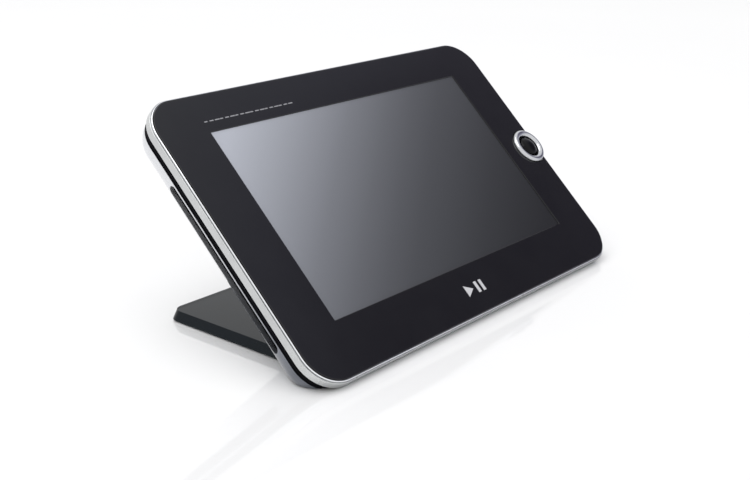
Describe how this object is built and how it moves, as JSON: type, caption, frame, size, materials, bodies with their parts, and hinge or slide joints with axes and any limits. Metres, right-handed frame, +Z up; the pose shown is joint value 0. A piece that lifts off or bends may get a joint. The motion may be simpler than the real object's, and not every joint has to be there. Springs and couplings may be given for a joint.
{
  "type": "portable dvd player",
  "caption": "Tablet-shaped portable disc player with a wide screen, a side control ring and a fold-out stand plate.",
  "frame": {"origin": "middle of the footprint, on the table", "axes": "+Z up, +X to the right as the viewer faces the screen, screen faces -Y"},
  "size_m": [0.2348, 0.1143, 0.1037],
  "materials": {
    "piano_black": "polished",
    "bright_trim": "polished",
    "satin_silver": "satin",
    "ring_black": "gloss",
    "cover_silver": "metallic gloss",
    "screen": "anti-glare film over the display",
    "inner_white": "matte",
    "sheet_steel": "plain",
    "circuit_board": "solder mask",
    "print_grey": "printed",
    "print_light": "printed",
    "ring_silver": "satin",
    "knob_black": "polished",
    "deep_black": "matte",
    "inner_black": "matte",
    "stand_dark": "satin",
    "soft_rubber": "matte",
    "satin_key": "satin",
    "cell_wrap": "shrink wrap",
    "slot_felt": "felt",
    "bright_steel": "ground",
    "lens_clear": "clear"
  },
  "bodies": {
    "case": {"front_panel": "piano_black", "front_trim": "bright_trim", "silver_band": "satin_silver", "mid_frame": "ring_black", "rear_cover": "cover_silver", "screen_film": "screen", "lcd_module": "inner_white", "lcd_frame": "sheet_steel", "backlight_board": "circuit_board", "play_badge": "print_light", "caption_dashes": "print_grey", "nav_ring": "ring_silver", "nav_switch": "inner_black", "hinge_brackets": "sheet_steel", "body_feet": "soft_rubber", "key_boards": "circuit_board", "volume_pot": "sheet_steel", "power_switch": "inner_black", "jack_panel": "inner_black", "dc_jack": "inner_black", "dc_pin": "sheet_steel", "signal_jacks": "inner_black", "main_board": "circuit_board", "board_chips": "inner_black", "shield_can": "sheet_steel", "battery_cells": "cell_wrap", "battery_tray": "inner_black", "speaker_grilles": "deep_black", "speaker_frames": "inner_black", "speaker_cones": "inner_black", "slot_felts": "slot_felt", "case_screws": "sheet_steel", "drive_chassis": "sheet_steel", "drive_lid": "sheet_steel", "drive_bushes": "soft_rubber", "load_motor": "sheet_steel"},
    "stand": {"stand_cover": "stand_dark", "stand_liner": "stand_dark", "stand_feet": "soft_rubber", "hinge_pins": "sheet_steel"},
    "gimbal": {"nav_gimbal": "sheet_steel"},
    "stick": {"nav_stick": "sheet_steel"},
    "knob": {"nav_knob": "knob_black"},
    "play_button": {"play_key": "satin_key"},
    "stop_button": {"stop_key": "satin_key"},
    "eject_button": {"eject_key": "satin_key"},
    "menu_button": {"menu_key": "satin_key"},
    "volume": {"volume_wheel": "ring_black"},
    "power": {"power_slider": "ring_black"},
    "traverse": {"traverse_plate": "sheet_steel", "guide_rods": "bright_steel", "spindle_motor": "sheet_steel", "sled_motor": "sheet_steel"},
    "platter": {"turntable": "inner_black"},
    "sled": {"pickup_sled": "inner_black"},
    "lens": {"pickup_lens": "lens_clear"},
    "screw": {"lead_screw": "bright_steel"},
    "roller": {"load_roller": "soft_rubber"},
    "idler": {"idler_gear": "inner_white"},
    "pinion": {"motor_pinion": "inner_white"}
  },
  "joints": [
    {"name": "stand_fold", "type": "hinge", "parent": "case", "child": "stand", "pos_m": [-0.00105, -0.02277, 0.00305], "axis": [1, 0, 0], "range_deg": [0, 43.5]},
    {"name": "nav_tilt_x", "type": "hinge", "parent": "case", "child": "gimbal", "pos_m": [0.10715, -0.00286, 0.05124], "axis": [1, 0, 0], "range_deg": [-6, 6], "stiffness_Nm_per_rad": 0.02},
    {"name": "nav_tilt_y", "type": "hinge", "parent": "gimbal", "child": "stick", "pos_m": [0.10715, -0.00286, 0.05124], "axis": [0, 0.7254, 0.6884], "range_deg": [-6, 6], "stiffness_Nm_per_rad": 0.02},
    {"name": "nav_press", "type": "slide", "parent": "stick", "child": "knob", "axis": [0, 0.6884, -0.7254], "range_m": [0, 0.0005], "stiffness_N_per_m": 200},
    {"name": "play_press", "type": "slide", "parent": "case", "child": "play_button", "axis": [0, -0.7254, -0.6884], "range_m": [0, 0.0005], "stiffness_N_per_m": 200},
    {"name": "stop_press", "type": "slide", "parent": "case", "child": "stop_button", "axis": [0, -0.7254, -0.6884], "range_m": [0, 0.0005], "stiffness_N_per_m": 200},
    {"name": "eject_press", "type": "slide", "parent": "case", "child": "eject_button", "axis": [0, -0.7254, -0.6884], "range_m": [0, 0.0005], "stiffness_N_per_m": 200},
    {"name": "menu_press", "type": "slide", "parent": "case", "child": "menu_button", "axis": [0, -0.7254, -0.6884], "range_m": [0, 0.0005], "stiffness_N_per_m": 200},
    {"name": "volume_turn", "type": "hinge", "parent": "case", "child": "volume", "pos_m": [-0.08105, 0.05089, 0.09121], "axis": [0, -0.6884, 0.7254], "range_deg": [-140, 140]},
    {"name": "power_slide", "type": "slide", "parent": "case", "child": "power", "axis": [0, -0.7254, -0.6884], "range_m": [0, 0.004]},
    {"name": "traverse_lift", "type": "slide", "parent": "case", "child": "traverse", "axis": [0, -0.6884, 0.7254], "range_m": [0, 0.0018]},
    {"name": "platter_spin", "type": "hinge", "parent": "traverse", "child": "platter", "pos_m": [-0.00105, 0.00966, 0.04851], "axis": [0, -0.6884, 0.7254], "continuous": true},
    {"name": "sled_travel", "type": "slide", "parent": "traverse", "child": "sled", "axis": [0, -0.7254, -0.6884], "range_m": [0, 0.025]},
    {"name": "lens_focus", "type": "slide", "parent": "sled", "child": "lens", "axis": [0, -0.6884, 0.7254], "range_m": [-0.0004, 0.0004], "stiffness_N_per_m": 40},
    {"name": "screw_spin", "type": "hinge", "parent": "traverse", "child": "screw", "pos_m": [0.02295, -0.01418, 0.02395], "axis": [0, 0.7254, 0.6884], "range_deg": [-20, 3021]},
    {"name": "roller_spin", "type": "hinge", "parent": "case", "child": "roller", "pos_m": [-0.00105, 0.05019, 0.08614], "axis": [1, 0, 0], "continuous": true},
    {"name": "idler_spin", "type": "hinge", "parent": "case", "child": "idler", "pos_m": [0.05595, 0.04693, 0.08304], "axis": [1, 0, 0], "continuous": true},
    {"name": "pinion_spin", "type": "hinge", "parent": "case", "child": "pinion", "pos_m": [0.05595, 0.0441, 0.08035], "axis": [1, 0, 0], "continuous": true}
  ],
  "couplings": [
    {"joint": "screw_spin", "follows": "sled_travel", "rad_per_m": 2094.4},
    {"joint": "idler_spin", "follows": "roller_spin", "ratio": -0.875},
    {"joint": "pinion_spin", "follows": "roller_spin", "ratio": 1.4}
  ]
}
